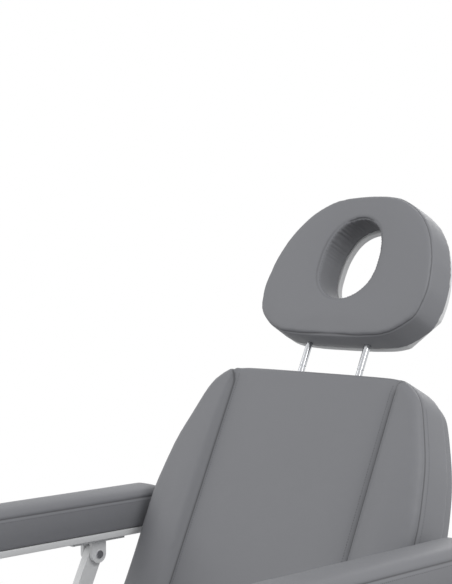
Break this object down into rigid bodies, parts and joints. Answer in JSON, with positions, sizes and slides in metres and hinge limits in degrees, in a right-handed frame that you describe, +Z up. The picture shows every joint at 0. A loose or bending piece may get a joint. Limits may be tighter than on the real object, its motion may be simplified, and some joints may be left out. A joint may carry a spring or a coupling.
{
  "type": "podiatry chair",
  "caption": "Electric podiatry chair with a reclining back, a headrest with a face hole, folding armrests, split leg rests and a parallelogram lift.",
  "frame": {"origin": "middle of the chair's bounding box on the floor, in the pictured pose with the lift down", "axes": "+Z up, the sitter faces -Y, +X is the sitter's left"},
  "size_m": [0.796, 1.3435, 1.3906],
  "materials": {
    "frame_white": "satin",
    "board_white": "satin",
    "upholstery": "matte",
    "bright_steel": "satin",
    "chrome": "polished",
    "motor_case": "matte",
    "spring_tube": "satin",
    "black_plastic": "matte",
    "foot_rubber": "matte",
    "guide_metal": "satin",
    "box_plastic": "matte"
  },
  "bodies": {
    "base": {"base_rails": "frame_white", "base_cross_tubes": "frame_white", "base_tube_caps": "black_plastic", "foot_studs": "bright_steel", "foot_pads": "foot_rubber", "lift_base_brackets": "frame_white", "base_pivot_pins": "bright_steel", "lift_motor_clevis": "frame_white", "control_box": "box_plastic", "mains_inlet": "black_plastic"},
    "lift_arm": {"lift_arm_bars": "frame_white", "lift_torsion_tube": "frame_white", "lift_horn_pin": "bright_steel"},
    "lift_link": {"lift_links": "frame_white"},
    "lift_motor_body": {"lift_motor": "motor_case"},
    "lift_rod_body": {"lift_motor_rod": "bright_steel"},
    "seat": {"seat_rails": "frame_white", "seat_cross_tubes": "frame_white", "lift_hangers": "frame_white", "seat_pivot_pins": "bright_steel", "recline_motor_bracket": "frame_white", "recline_seat_ears": "frame_white", "seat_board": "board_white", "seat_cushion": "upholstery", "leg_hinge_ears": "frame_white", "leg_spring_ears": "frame_white", "arm_outriggers": "frame_white", "arm_uprights": "frame_white"},
    "backrest": {"backrest_rails": "frame_white", "backrest_cross_tubes": "frame_white", "backrest_ears": "frame_white", "backrest_motor_clevis": "frame_white", "backrest_motor_pin": "bright_steel", "backrest_board": "board_white", "backrest_cushion": "upholstery", "headrest_guides": "guide_metal"},
    "recline_motor_body": {"recline_motor": "motor_case"},
    "recline_rod_body": {"recline_motor_rod": "bright_steel"},
    "headrest": {"headrest_posts": "chrome", "headrest_sockets": "guide_metal", "headrest_board": "board_white", "headrest_cushion": "upholstery"},
    "armrest_left": {"armrest_bracket_left": "frame_white", "armrest_board_left": "board_white", "armrest_pad_left": "upholstery"},
    "leg_frame_body_left": {"leg_frame_left": "frame_white"},
    "leg_rest_left": {"leg_slide_left": "bright_steel", "leg_board_left": "board_white", "leg_cushion_left": "upholstery"},
    "leg_spring_body_left": {"leg_spring_left": "spring_tube"},
    "leg_rod_body_left": {"leg_spring_rod_left": "bright_steel"},
    "armrest_right": {"armrest_bracket_right": "frame_white", "armrest_board_right": "board_white", "armrest_pad_right": "upholstery"},
    "leg_frame_body_right": {"leg_frame_right": "frame_white"},
    "leg_rest_right": {"leg_slide_right": "bright_steel", "leg_board_right": "board_white", "leg_cushion_right": "upholstery"},
    "leg_spring_body_right": {"leg_spring_right": "spring_tube"},
    "leg_rod_body_right": {"leg_spring_rod_right": "bright_steel"}
  },
  "joints": [
    {"name": "lift", "type": "hinge", "parent": "base", "child": "lift_arm", "pos_m": [0, -0.23903, 0.15], "axis": [1, 0, 0], "range_deg": [0, 40]},
    {"name": "lift_level", "type": "hinge", "parent": "lift_arm", "child": "seat", "pos_m": [0, 0.20113, 0.24356], "axis": [1, 0, 0], "range_deg": [-40, 0]},
    {"name": "lift_link_swing", "type": "hinge", "parent": "base", "child": "lift_link", "pos_m": [0, -0.23903, 0.24], "axis": [1, 0, 0], "range_deg": [0, 40]},
    {"name": "lift_motor_swing", "type": "hinge", "parent": "base", "child": "lift_motor_body", "pos_m": [0, -0.03362, 0.10634], "axis": [1, 0, 0], "range_deg": [0, 20]},
    {"name": "lift_rod_swing", "type": "hinge", "parent": "lift_arm", "child": "lift_rod_body", "pos_m": [0, -0.1156, 0.31989], "axis": [1, 0, 0], "range_deg": [-20, 0]},
    {"name": "recline", "type": "hinge", "parent": "seat", "child": "backrest", "pos_m": [0, 0.27213, 0.525], "axis": [-1, 0, 0], "range_deg": [0, 65]},
    {"name": "recline_motor_swing", "type": "hinge", "parent": "seat", "child": "recline_motor_body", "pos_m": [0, 0.23438, 0.31087], "axis": [-1, 0, 0], "range_deg": [0, 32.5]},
    {"name": "recline_rod_swing", "type": "hinge", "parent": "backrest", "child": "recline_rod_body", "pos_m": [0, 0.43397, 0.67021], "axis": [-1, 0, 0], "range_deg": [-32.5, 0]},
    {"name": "headrest_height", "type": "slide", "parent": "backrest", "child": "headrest", "axis": [0, 0.4226, 0.9063], "range_m": [-0.055, 0.08]},
    {"name": "armrest_fold_left", "type": "hinge", "parent": "seat", "child": "armrest_left", "pos_m": [0.358, 0.26713, 0.742], "axis": [-1, 0, 0], "range_deg": [0, 90]},
    {"name": "leg_lift_left", "type": "hinge", "parent": "seat", "child": "leg_frame_body_left", "pos_m": [0.1425, -0.24787, 0.525], "axis": [-1, 0, 0], "range_deg": [-25, 35]},
    {"name": "leg_extension_left", "type": "slide", "parent": "leg_frame_body_left", "child": "leg_rest_left", "axis": [0, -0.8192, -0.5736], "range_m": [0, 0.15]},
    {"name": "leg_spring_swing_left", "type": "hinge", "parent": "seat", "child": "leg_spring_body_left", "pos_m": [0.1425, -0.06557, 0.41975], "axis": [-1, 0, 0], "range_deg": [-12.5, 17.5]},
    {"name": "leg_rod_swing_left", "type": "hinge", "parent": "leg_frame_body_left", "child": "leg_rod_body_left", "pos_m": [0.1425, -0.35154, 0.34181], "axis": [-1, 0, 0], "range_deg": [-17.5, 12.5]},
    {"name": "armrest_fold_right", "type": "hinge", "parent": "seat", "child": "armrest_right", "pos_m": [-0.358, 0.26713, 0.742], "axis": [-1, 0, 0], "range_deg": [0, 90]},
    {"name": "leg_lift_right", "type": "hinge", "parent": "seat", "child": "leg_frame_body_right", "pos_m": [-0.1425, -0.24787, 0.525], "axis": [-1, 0, 0], "range_deg": [-25, 35]},
    {"name": "leg_extension_right", "type": "slide", "parent": "leg_frame_body_right", "child": "leg_rest_right", "axis": [0, -0.8192, -0.5736], "range_m": [0, 0.15]},
    {"name": "leg_spring_swing_right", "type": "hinge", "parent": "seat", "child": "leg_spring_body_right", "pos_m": [-0.1425, -0.06557, 0.41975], "axis": [-1, 0, 0], "range_deg": [-12.5, 17.5]},
    {"name": "leg_rod_swing_right", "type": "hinge", "parent": "leg_frame_body_right", "child": "leg_rod_body_right", "pos_m": [-0.1425, -0.35154, 0.34181], "axis": [-1, 0, 0], "range_deg": [-17.5, 12.5]}
  ],
  "couplings": [
    {"joint": "lift_level", "follows": "lift", "ratio": -1},
    {"joint": "lift_link_swing", "follows": "lift", "ratio": 1},
    {"joint": "lift_motor_swing", "follows": "lift", "ratio": 0.5},
    {"joint": "lift_rod_swing", "follows": "lift", "ratio": -0.5},
    {"joint": "recline_motor_swing", "follows": "recline", "ratio": 0.5},
    {"joint": "recline_rod_swing", "follows": "recline", "ratio": -0.5},
    {"joint": "leg_spring_swing_left", "follows": "leg_lift_left", "ratio": 0.5},
    {"joint": "leg_rod_swing_left", "follows": "leg_lift_left", "ratio": -0.5},
    {"joint": "leg_spring_swing_right", "follows": "leg_lift_right", "ratio": 0.5},
    {"joint": "leg_rod_swing_right", "follows": "leg_lift_right", "ratio": -0.5}
  ]
}
